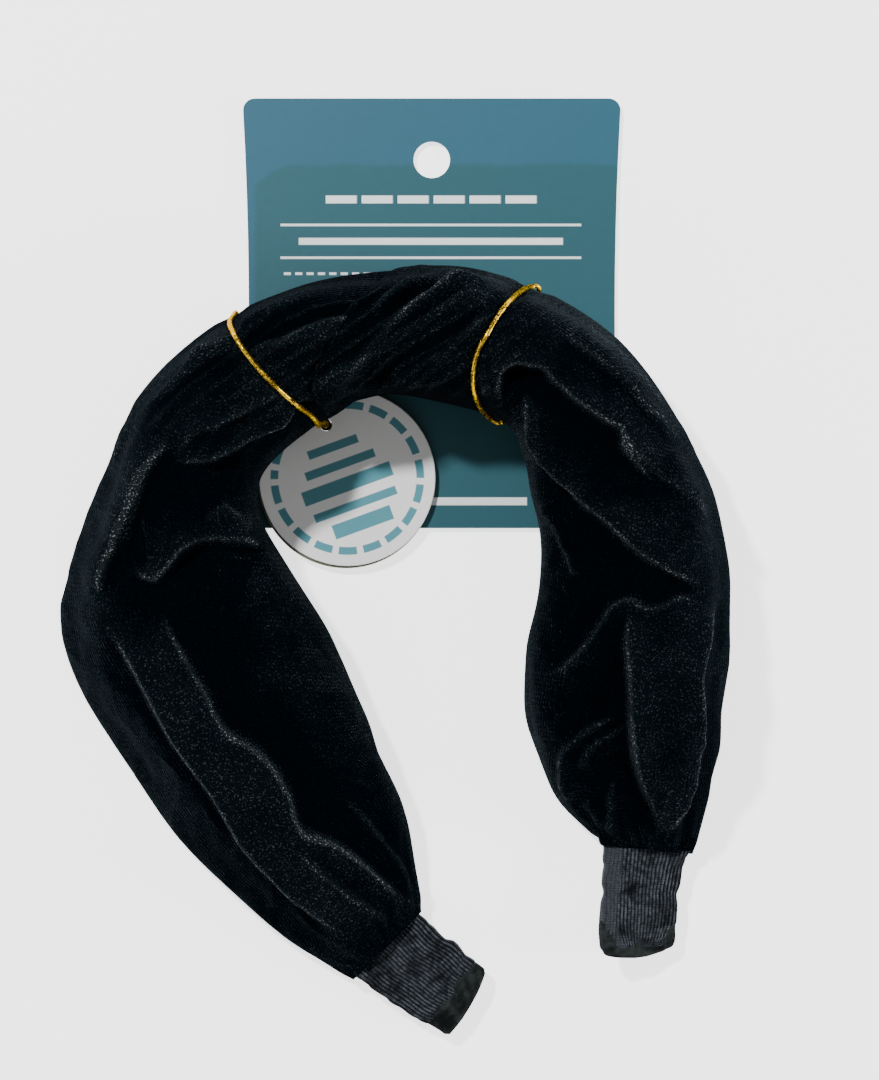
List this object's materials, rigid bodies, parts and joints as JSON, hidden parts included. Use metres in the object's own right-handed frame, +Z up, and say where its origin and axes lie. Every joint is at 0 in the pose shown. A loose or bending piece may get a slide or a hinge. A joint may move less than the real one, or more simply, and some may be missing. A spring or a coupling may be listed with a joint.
{
  "type": "headband",
  "caption": "Wide twist headband in black velvet on a springy hoop, tied to a header card by gold elastic loops, with a round hang tag.",
  "frame": {"origin": "on the surface the set lies on, under the middle of the whole set's outline", "axes": "+Z up from that surface, +Y from the band's two ends to its crown and on to the card's hang hole, +X to the right seen from above"},
  "size_m": [0.1448, 0.2058, 0.0367],
  "materials": {
    "velvet": "black stretch velvet, crushed, with a silvery sheen at grazing angles",
    "ribbed_knit": "fine ribbed knit, dark grey-black",
    "binding": "smooth black folded fabric",
    "core_plastic": "plain black moulded strip",
    "card_print": "matt printed board, two blue-greens",
    "tag_print": "white coated board with plain blue-green marks",
    "tag_board": "raw dark olive-grey board",
    "gold_elastic": "metallic gold thread wound on elastic",
    "barb_metal": "plain crimped bar"
  },
  "bodies": {
    "crown": {"header_card": "card_print", "left_elastic_loop": "gold_elastic", "right_elastic_loop": "gold_elastic", "left_upper_barb": "barb_metal", "left_lower_barb": "barb_metal", "right_upper_barb": "barb_metal", "right_lower_barb": "barb_metal", "core_crown": "core_plastic", "velvet_twist": "velvet"},
    "left_arm": {"core_left_arm": "core_plastic", "velvet_left_arm": "velvet", "left_gathered_hem": "velvet", "left_ribbed_sleeve": "ribbed_knit", "left_tip_fold": "binding"},
    "right_arm": {"core_right_arm": "core_plastic", "velvet_right_arm": "velvet", "right_gathered_hem": "velvet", "right_ribbed_sleeve": "ribbed_knit", "right_tip_fold": "binding"},
    "tag": {"tag_back_ply": "tag_board", "tag_front_ply": "tag_print"}
  },
  "joints": [
    {"name": "left_arm_flex", "type": "hinge", "parent": "crown", "child": "left_arm", "pos_m": [-0.051, 0.0281, 0.0175], "axis": [0, 0, -1], "range_deg": [-6, 16], "stiffness_Nm_per_rad": 0.4},
    {"name": "right_arm_flex", "type": "hinge", "parent": "crown", "child": "right_arm", "pos_m": [0.0548, 0.0232, 0.017], "axis": [0, 0, 1], "range_deg": [-6, 16], "stiffness_Nm_per_rad": 0.4},
    {"name": "tag_swing", "type": "hinge", "parent": "crown", "child": "tag", "pos_m": [-0.0157, 0.0306, 0.0025], "axis": [0, 0, 1], "range_deg": [-20, 30]}
  ]
}
